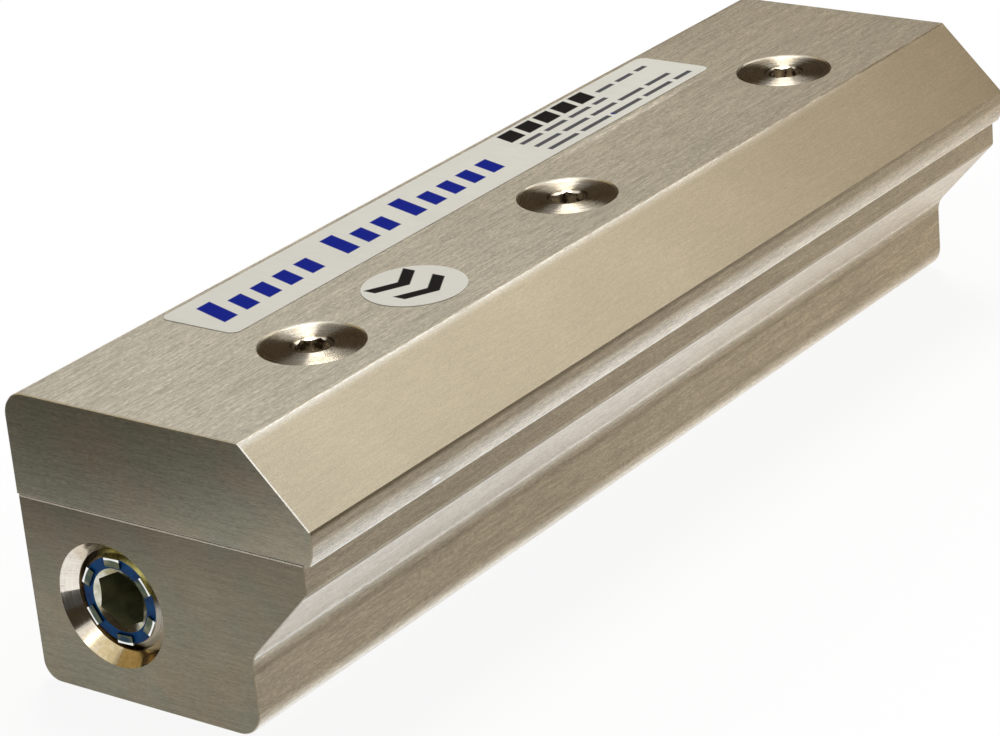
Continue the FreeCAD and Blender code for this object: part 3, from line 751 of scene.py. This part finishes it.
def stained(name, tones, roughness, metallic=1.0):
    """Plated metal with stains between two tones, and one metallic value all over."""
    shader = Shader(name)
    stain = shader.noise(shader.place(), STAIN_SCALE, detail=3.0)
    return shader.surface(
        Base_Color=shader.ramp(stain, list(zip((0.4, 0.62), tones))),
        Metallic=metallic,
        Roughness=shader.spread(stain, roughness, roughness + 0.12),
        Normal=shader.bump(stain, STAIN_DEPTH, 0.4),
    )


def plug_bevel():
    """The plug's bevel: dark oxide in rings, gold at the upper front, white at the lower front."""
    shader = Shader("plug_bevel")
    flat = shader.offset(PLUG_CENTRE, END_VIEW)
    spoke = shader.vector("NORMALIZE", flat)
    across = shader.math("DIVIDE", shader.vector("LENGTH", flat), BEVEL_RING)
    rings = shader.noise(shader.join(across, 0.0, 0.0))
    stain = shader.noise(shader.place(), BEVEL_STAIN_SCALE, detail=3.0)
    colour = shader.ramp(rings, list(zip((0.4, 0.6), BEVEL_TONES)))
    gold = shader.remap(shader.vector("DOT_PRODUCT", spoke, GOLD_SIDE), 0.45, 0.85)
    gold = shader.math("MULTIPLY", gold, shader.remap(stain, 0.35, 0.55, 0.5, 1.0))
    colour = shader.mix(gold, colour, GOLD_TONE)
    # White at the lower front of the bevel, and less metallic there.
    sealant = shader.remap(shader.vector("DOT_PRODUCT", spoke, LOWER_FRONT_SIDE), 0.7, 0.86)
    sealant = shader.math("MULTIPLY", sealant, shader.remap(rings, 0.36, 0.44))
    return shader.surface(
        Base_Color=shader.mix(sealant, colour, LOWER_FRONT_WHITE_TONE),
        Metallic=shader.remap(sealant, 0.0, 1.0, 1.0, 0.1),
        Roughness=shader.spread(stain, 0.2, 0.34),
        Normal=shader.bump(rings, 0.03 * MM, 0.5),
    )


def plug_pads():
    """The raised pads: stained metal with a painted highlight along the outer edge."""
    shader = Shader("plug_pads")
    stain = shader.noise(shader.place(), PAD_STAIN_SCALE, detail=3.0)
    inner = shader.ramp(stain, list(zip((0.35, 0.5, 0.65), PAD_TONES)))
    rim_highlight = shader.remap(shader.vector("LENGTH", shader.offset(PLUG_CENTRE, END_VIEW)), *PAD_RIM_HIGHLIGHT_REACH)
    return shader.surface(
        Base_Color=shader.mix(rim_highlight, inner, PAD_RIM_HIGHLIGHT_TONE),
        Metallic=1.0,
        Roughness=shader.spread(stain, 0.12, 0.26),
        Normal=shader.bump(stain, STAIN_DEPTH, 0.4),
    )


def dress_plug():
    finish_faces("end_plug", [
        blue_paint(),
        plug_pads(),
        plug_bevel(),
        stained("plug_lead", LEAD_IN_TONES, roughness=0.12),
        stained("plug_socket", KEY_SOCKET_TONES, roughness=0.4, metallic=0.2),
    ], plug_face)


# Print of the labels, in millimetres along the knife from its near end and across it from its back.
PRINT_EDGE = 0.07
BAR_LEAN = 0.3

# Runs of blue bars: where each starts and how many bars it has. The first bar of each stands taller.
RUNS = ((25.8, 5), (49.0, 3), (62.6, 5))
RUN_HEIGHTS = (7.2, 11.3)
FIRST_BAR_HEIGHTS = (5.4, 11.3)
RUN_PITCH, RUN_BAR = 4.1, 2.5

# One block of black bars.
BLOCK_START, BLOCK_BARS = 89.0, 5
BLOCK_HEIGHTS = (3.7, 6.9)
BLOCK_PITCH, BLOCK_BAR = 4.0, 3.2

# Broken grey rows: start, end and middle of each. A blue dot stands in each of the last two.
ROWS = ((109.8, 121.4, 6.0), (89.0, 108.5, 8.4), (89.0, 120.6, 10.7), (89.0, 122.0, 12.9))
ROW_HEIGHT = 0.8
ROW_PITCH, ROW_PITCH_STEP, ROW_GAP = 4.6, 0.9, 0.9
DOT_ROWS = 2
DOT_ALONG, DOT_RADIUS = 103.7, 0.45

# Two chevrons on the round label.
CHEVRON_ALONG, CHEVRON_HALF, CHEVRON_LEAN = 44.1, 3.9, 0.55
CHEVRONS = ((22.6, 24.4), (27.0, 28.8))

FILM_TONE = linear(236, 235, 227)
BLUE_INK = linear(0, 28, 146)
BLACK_INK = linear(16, 14, 14)
GREY_INK = linear(86, 86, 92)


def print_place(shader):
    """Where a place lies on the print, along and across the knife in millimetres."""
    x, y, _ = shader.split(shader.place())
    along = shader.math("MULTIPLY_ADD", x, 1 / MM, END / MM)
    across = shader.math("MULTIPLY_ADD", y, -1 / MM, CAP_BACK / MM)
    return along, across


def leaning_bars(shader, along, across, ends, heights, pitch, bar):
    """A run of leaning bars: 1 on a bar, 0 between them."""
    start, end = ends
    top, foot = heights
    leaned = shader.math("MULTIPLY_ADD", across, BAR_LEAN, shader.math("SUBTRACT", along, BAR_LEAN * foot))
    phase = shader.math("MODULO", shader.math("SUBTRACT", leaned, start), pitch)
    return shader.total("MINIMUM", [
        shader.inside(phase, PRINT_EDGE, bar, PRINT_EDGE),
        shader.inside(leaned, start, end, PRINT_EDGE),
        shader.inside(across, top, foot, PRINT_EDGE),
    ])


def run_end(start, bars, pitch, bar):
    """Where the last of a run of bars ends."""
    return start + (bars - 1) * pitch + bar


def dot(shader, along, across, middle):
    """A small round dot in a row."""
    beside = shader.math("SUBTRACT", along, DOT_ALONG)
    distance = shader.vector("LENGTH", shader.join(beside, shader.math("SUBTRACT", across, middle), 0.0))
    return shader.remap(distance, DOT_RADIUS - PRINT_EDGE, DOT_RADIUS + PRINT_EDGE, 1.0, 0.0)


def blue_print(shader, along, across):
    """Three runs of leaning bars, each with a taller first bar, and two dots."""
    marks = []
    for start, bars in RUNS:
        run = (start, run_end(start, bars, RUN_PITCH, RUN_BAR))
        first = (start, run_end(start, 1, RUN_PITCH, RUN_BAR))
        marks.append(leaning_bars(shader, along, across, run, RUN_HEIGHTS, RUN_PITCH, RUN_BAR))
        marks.append(leaning_bars(shader, along, across, first, FIRST_BAR_HEIGHTS, RUN_PITCH, RUN_BAR))
    for _, _, middle in ROWS[-DOT_ROWS:]:
        marks.append(dot(shader, along, across, middle))
    return shader.total("MAXIMUM", marks)


def black_print(shader, along, across):
    """One block of leaning bars."""
    block = (BLOCK_START, run_end(BLOCK_START, BLOCK_BARS, BLOCK_PITCH, BLOCK_BAR))
    return leaning_bars(shader, along, across, block, BLOCK_HEIGHTS, BLOCK_PITCH, BLOCK_BAR)


def grey_print(shader, along, across):
    """Thin broken rows."""
    marks = []
    for number, (start, end, middle) in enumerate(ROWS):
        pitch = ROW_PITCH + ROW_PITCH_STEP * number
        phase = shader.math("MODULO", shader.math("SUBTRACT", along, start), pitch)
        marks.append(shader.total("MINIMUM", [
            shader.inside(phase, PRINT_EDGE, pitch - ROW_GAP, PRINT_EDGE),
            shader.inside(along, start, end, PRINT_EDGE),
            shader.inside(across, middle - ROW_HEIGHT / 2, middle + ROW_HEIGHT / 2, PRINT_EDGE),
        ]))
    return shader.total("MAXIMUM", marks)


def chevron_print(shader, along, across):
    """Two chevrons that point the way the air goes."""
    side = shader.math("ABSOLUTE", shader.math("SUBTRACT", along, CHEVRON_ALONG))
    folded = shader.math("MULTIPLY_ADD", side, CHEVRON_LEAN, across)
    bands = [shader.inside(folded, low, high, PRINT_EDGE) for low, high in CHEVRONS]
    width = shader.remap(side, CHEVRON_HALF - PRINT_EDGE, CHEVRON_HALF + PRINT_EDGE, 1.0, 0.0)
    return shader.math("MINIMUM", shader.total("MAXIMUM", bands), width)


def label_film(name, prints):
    """Satin film with its print. Prints are pairs of a mark function and an ink."""
    shader = Shader(name)
    cloudy = shader.noise(shader.place(), FILM_SCALE, detail=3.0)
    fibre = grain(shader, ACROSS, 5.0 * MM, 0.5 * MM)
    colour = shader.shade(FILM_TONE, shader.spread(cloudy, 0.95, 1.0))
    colour = shader.shade(colour, shader.spread(fibre, 0.97, 1.0))
    along, across = print_place(shader)
    inked = []
    for marks, ink in prints:
        mark = marks(shader, along, across)
        colour = shader.mix(mark, colour, ink)
        inked.append(mark)
    return shader.surface(
        Base_Color=colour,
        Roughness=shader.remap(shader.total("MAXIMUM", inked), 0.0, 1.0, 0.5, 0.4),
        Specular_IOR_Level=0.12,
        Normal=shader.bump(cloudy, STAIN_DEPTH, 0.3),
    )


def dress_labels():
    strip_print = [(blue_print, BLUE_INK), (black_print, BLACK_INK), (grey_print, GREY_INK)]
    finish_whole("label_strip", label_film("strip_film", strip_print))
    finish_whole("round_label", label_film("round_film", [(chevron_print, BLACK_INK)]))


def mesh_from(name, grid):
    """A mesh made from a grid, which is freed."""
    mesh = bpy.data.meshes.new(name)
    grid.to_mesh(mesh)
    grid.free()
    return mesh


def add_object(name, data):
    """A new object in the scene, with its mesh, lamp or camera."""
    made = bpy.data.objects.new(name, data)
    bpy.context.scene.collection.objects.link(made)
    return made


# A thread's ridge: steps to the turn, turns to fade in or out, and section as (shift in pitches, height).
THREAD_STEPS = 56
THREAD_FADE = 0.6
THREAD_SECTION = ((-0.42, -0.05), (-0.07, 1.0), (0.07, 1.0), (0.42, -0.05))
THREAD_TONE = linear(200, 192, 176)

INLET_THREAD_CREST = 5.75 * MM
INLET_THREAD_PITCH = 1.411 * MM
INLET_THREAD_LENGTH = 13.0 * MM
MOUNTING_HOLE_RADIUS = 2.6 * MM
MOUNTING_THREAD_START = 0.6 * MM
MOUNTING_THREAD_CREST = 2.34 * MM
MOUNTING_THREAD_PITCH = 1.27 * MM
MOUNTING_THREAD_LENGTH = 8.4 * MM


def thread_strip(grid, pairs):
    """One flank or crest of a thread, through pairs of points along its helix."""
    last = None
    for pair in pairs:
        here = [grid.verts.new(point) for point in pair]
        if last:
            grid.faces.new((last[0], last[1], here[1], here[0])).smooth = True
        last = here


def make_thread(name, mouth, inward, side, wall, crest, pitch, length):
    """A helical ridge inside a hole, from its mouth inwards, that fades out at both ends."""
    inward = Vector(inward)
    side = Vector(side)
    other = inward.cross(side)
    path = [step / THREAD_STEPS for step in range(int(length / pitch * THREAD_STEPS) + 1)]

    def point(turn, shift, height):
        fade = min(1.0, turn / THREAD_FADE, (path[-1] - turn) / THREAD_FADE)
        radius = wall - (wall - crest) * height * max(fade, 0.0)
        angle = 2 * math.pi * turn
        spoke = side * math.cos(angle) + other * math.sin(angle)
        return Vector(mouth) + inward * ((turn + shift) * pitch) + spoke * radius

    grid = bmesh.new()
    for low, high in zip(THREAD_SECTION, THREAD_SECTION[1:]):
        thread_strip(grid, [(point(turn, *low), point(turn, *high)) for turn in path])
    axis = tuple(abs(part) for part in inward)
    cut = turned(name + "_cut", THREAD_TONE, mouth, axis, roughness=0.25, anisotropy=0.4)
    piece = add_object(name, mesh_from(name, grid))
    piece.data.materials.append(cut)
    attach(piece, "root")


def make_threads():
    """One thread in the open inlet and one in each mounting hole of the underside."""
    make_thread("inlet_thread", mouth=(END - PORT_MOUTH_DEPTH, PORT_Y, PORT_Z), inward=(-1, 0, 0),
                side=(0, 1, 0), wall=PORT_RADIUS, crest=INLET_THREAD_CREST, pitch=INLET_THREAD_PITCH,
                length=INLET_THREAD_LENGTH)
    for number, along in enumerate((-SCREW_PITCH / 2, SCREW_PITCH / 2), start=1):
        make_thread("mounting_thread_{}".format(number), mouth=(along, SCREW_Y, MOUNTING_THREAD_START),
                    inward=(0, 0, 1), side=(1, 0, 0), wall=MOUNTING_HOLE_RADIUS,
                    crest=MOUNTING_THREAD_CREST, pitch=MOUNTING_THREAD_PITCH,
                    length=MOUNTING_THREAD_LENGTH)


WORLD_LIGHT = (0.5, 0.496, 0.485)
FLOOR_SIZE = 12.0
FLOOR_DROP = 0.1 * MM
FLOOR_COLOUR = (0.86, 0.86, 0.85)
FLOOR_SHADOW_SHARE = 0.1
FLOOR_SHADOW_REACH = 60 * MM


def seen_rays(tree):
    """1 for camera, glossy and transmission rays, which see the white set."""
    path = tree.nodes.new("ShaderNodeLightPath")
    total = path.outputs["Is Camera Ray"]
    for name in ("Is Glossy Ray", "Is Transmission Ray"):
        larger = tree.nodes.new("ShaderNodeMath")
        larger.operation = "MAXIMUM"
        tree.links.new(total, larger.inputs[0])
        tree.links.new(path.outputs[name], larger.inputs[1])
        total = larger.outputs[0]
    return total


def background(tree, colour):
    """An even light of one colour from all round."""
    made = tree.nodes.new("ShaderNodeBackground")
    made.inputs[0].default_value = (*colour, 1.0)
    made.inputs[1].default_value = 1.0
    return made.outputs[0]


def make_world():
    """A plain grey light, which is seen as white."""
    world = bpy.data.worlds.new("studio")
    bpy.context.scene.world = world
    world.use_nodes = True
    tree = world.node_tree
    tree.nodes.clear()
    mix = tree.nodes.new("ShaderNodeMixShader")
    tree.links.new(seen_rays(tree), mix.inputs[0])
    tree.links.new(background(tree, WORLD_LIGHT), mix.inputs[1])
    tree.links.new(background(tree, WHITE), mix.inputs[2])
    tree.links.new(mix.outputs[0], tree.nodes.new("ShaderNodeOutputWorld").inputs[0])


def beyond(shader, value, limit):
    """How far a coordinate lies outside the knife, on either side."""
    return shader.math("MAXIMUM", shader.math("SUBTRACT", shader.math("ABSOLUTE", value), limit), 0.0)


def shadow_share(shader):
    """How much of the floor's look is lit paper: most beside the knife, none away from it."""
    x, y, _ = shader.split(shader.place())
    distance = shader.vector("LENGTH", shader.join(beyond(shader, x, END), beyond(shader, y, CAP_BACK), 0.0))
    return shader.remap(distance, 0.0, FLOOR_SHADOW_REACH, FLOOR_SHADOW_SHARE, 0.0)


def mix_shaders(shader, factor, first, second):
    made = shader.node("MixShader")
    for socket, value in zip(made.inputs, (factor, first, second)):
        shader.feed(socket, value)
    return made.outputs[0]


def floor_material():
    """White floor: seen as white, and darker only where the knife's shadow falls. Clear from below."""
    shader = Shader("floor_paper")
    diffuse = shader.node("BsdfDiffuse")
    diffuse.inputs[0].default_value = (*FLOOR_COLOUR, 1.0)
    glow = shader.node("Emission")
    glow.inputs[0].default_value = (*WHITE, 1.0)
    unshaded = shader.math("SUBTRACT", 1.0, shadow_share(shader))
    white = shader.math("MULTIPLY", seen_rays(shader.tree), unshaded)
    paper = mix_shaders(shader, white, diffuse.outputs[0], glow.outputs[0])
    below = shader.node("NewGeometry").outputs["Backfacing"]
    clear = shader.node("BsdfTransparent").outputs[0]
    shader.feed(shader.out.inputs[0], mix_shaders(shader, below, paper, clear))
    return shader.material


def make_floor():
    bpy.ops.mesh.primitive_plane_add(size=FLOOR_SIZE, location=(0, 0, -FLOOR_DROP))
    floor = bpy.context.object
    floor.name = "floor"
    floor.data.materials.append(floor_material())


def cloth(name, colour):
    """Dull cloth, darker in patches."""
    shader = Shader(name)
    weave = shader.noise(shader.place(), CLOTH_SCALE, detail=3.0)
    dark = tuple(0.7 * part for part in colour)
    tones = shader.ramp(weave, list(zip(NOISE_RANGE, (dark, colour))))
    return shader.surface(Base_Color=tones, Roughness=0.9)


def stand_flag(name, mesh, material):
    """A sheet beside the set that only the metal's reflections show."""
    mesh.materials.append(material)
    flag = add_object(name, mesh)
    flag.visible_camera = False
    return flag


def upright_sheet(name, columns, closed=False):
    """An upright sheet through (angle, radius, low, high) columns."""
    grid = bmesh.new()
    sides = []
    for angle, radius, low, high in columns:
        x, y = radius * math.cos(angle), radius * math.sin(angle)
        sides.append([grid.verts.new((x, y, z)) for z in (low, high)])
    following = sides[1:] + sides[:1] if closed else sides[1:]
    for here, there in zip(sides, following):
        grid.faces.new((here[0], there[0], there[1], here[1]))
    return mesh_from(name, grid)


# The band stands a little higher towards one side and dips steeply behind the camera.
BAND_STEPS = 96
BAND_COLOUR = linear(88, 74, 54)
BAND_RADIUS = 2.0
BAND_HEIGHT = 2.2
BAND_RISE = 0.2
BAND_HIGH_SIDE = math.radians(38)
BAND_DIP = 1.3
BAND_DIP_STEEPNESS = 6
BAND_LOW_SIDE = math.radians(-150)


def band_height(angle):
    towards = max(0.0, math.cos(angle - BAND_HIGH_SIDE))
    away = max(0.0, math.cos(angle - BAND_LOW_SIDE))
    return BAND_HEIGHT + BAND_RISE * towards ** 2 - BAND_DIP * away ** BAND_DIP_STEEPNESS


def make_band():
    """A cloth band round the set, below the lights and lowest behind the camera."""
    angles = [2 * math.pi * step / BAND_STEPS for step in range(BAND_STEPS)]
    columns = [(angle, BAND_RADIUS, 0.0, band_height(angle)) for angle in angles]
    sheet = upright_sheet("flag_band", columns, closed=True)
    stand_flag("flag_band", sheet, cloth("flag_band_cloth", BAND_COLOUR))


CARD_STEPS = 12
CARD_COLOUR = linear(186, 166, 122)
CARD_RADIUS = 1.9
CARD_SIDES = (math.radians(88), math.radians(130))
CARD_HEIGHTS = (0.55, 2.15)


def card_paper():
    """Paper that glows in its own colour for the rays that see the set."""
    shader = Shader("card_paper")
    uneven = shader.noise(shader.place(), CARD_SCALE)
    dark = tuple(0.85 * part for part in CARD_COLOUR)
    glow = shader.node("Emission")
    shader.feed(glow.inputs[0], shader.ramp(uneven, list(zip(NOISE_RANGE, (dark, CARD_COLOUR)))))
    shader.feed(glow.inputs[1], seen_rays(shader.tree))
    shader.feed(shader.out.inputs[0], glow.outputs[0])
    return shader.material


def make_card():
    """A tan card beside the band, which only the metal's reflections show, in its own colour."""
    first, last = CARD_SIDES
    angles = [first + (last - first) * step / CARD_STEPS for step in range(CARD_STEPS + 1)]
    columns = [(angle, CARD_RADIUS, *CARD_HEIGHTS) for angle in angles]
    card = stand_flag("card", upright_sheet("card", columns), card_paper())
    card.visible_diffuse = False
    card.visible_shadow = False


LOW_FLAG_CORNERS = ((-0.70, 0.0), (-0.114, 0.012), (-0.10, 0.034), (-0.09, 0.45), (-0.70, 0.45))
LOW_FLAG_HEIGHT = 6 * MM
LOW_FLAG_COLOUR = linear(94, 90, 77)
FRONT_FLAG_CORNERS = ((-0.102, -0.001), (-0.088, -0.010), (-1.15, -1.55), (-1.55, -1.15), (-0.125, -0.010))
FRONT_FLAG_HEIGHT = 1 * MM
FRONT_FLAG_COLOUR = linear(20, 17, 14)


def lay_flag(name, corners, height, colour):
    """A cloth laid flat on the floor for the end's reflections, with no shadow of its own: a dark sheet that
    stands in for shade in the reflections beside the near end.
    """
    grid = bmesh.new()
    grid.faces.new([grid.verts.new((x, y, height)) for x, y in corners])
    flag = stand_flag(name, mesh_from(name, grid), cloth(name + "_cloth", colour))
    flag.visible_shadow = False
    flag.visible_diffuse = False


def soft_box(name, place, target, size, radiance, colour):
    """An area lamp that faces a point, with its brightness given as radiance."""
    light = bpy.data.lights.new(name, "AREA")
    light.shape = "RECTANGLE"
    light.size, light.size_y = size
    light.energy = radiance * math.pi * size[0] * size[1]
    light.color = colour
    lamp = add_object(name, light)
    lamp.location = place
    lamp.rotation_mode = "QUATERNION"
    lamp.rotation_quaternion = (Vector(target) - Vector(place)).to_track_quat("-Z", "Y")
    lamp.visible_camera = False


def make_lights():
    """A high box for the top and the screws, and small boxes for the crest, the front and the end."""
    soft_box("top_box", place=(0.75, 0.5, 1.95), target=(0, 0, 0.02), size=(0.6, 1.2),
             radiance=9.6, colour=(1.0, 0.98, 0.95))
    soft_box("crest_box", place=(0.42, 0.12, 0.58), target=(0, 0, 0.03), size=(0.25, 0.25),
             radiance=1.6, colour=(1.0, 0.98, 0.93))
    soft_box("front_right_box", place=(0.27, -0.2, 0.32), target=(-0.04, 0, 0.03), size=(0.22, 0.22),
             radiance=1.4, colour=(1.0, 0.96, 0.88))
    soft_box("camera_box", place=(-0.62, -0.3, 0.68), target=(-0.05, 0, 0.02), size=(0.24, 0.2),
             radiance=2.2, colour=(1.0, 0.99, 0.97))


def make_camera():
    data = bpy.data.cameras.new("camera")
    data.sensor_width = SENSOR_WIDTH
    data.lens = CAMERA_LENS
    data.clip_start = 0.01
    data.clip_end = 100
    camera = add_object("camera", data)
    camera.location = CAMERA_PLACE
    camera.rotation_mode = "QUATERNION"
    look = (CAMERA_TARGET - CAMERA_PLACE).to_track_quat("-Z", "Y")
    camera.rotation_quaternion = look @ Quaternion((0, 0, 1), CAMERA_ROLL)
    bpy.context.scene.camera = camera


bpy.context.scene.view_settings.view_transform = "Standard"
dress_body()
dress_cap()
dress_shim()
dress_screws()
dress_plug()
dress_labels()
make_threads()
make_world()
make_floor()
make_band()
make_card()
lay_flag("flag_low", LOW_FLAG_CORNERS, LOW_FLAG_HEIGHT, LOW_FLAG_COLOUR)
lay_flag("flag_front", FRONT_FLAG_CORNERS, FRONT_FLAG_HEIGHT, FRONT_FLAG_COLOUR)
make_lights()
make_camera()
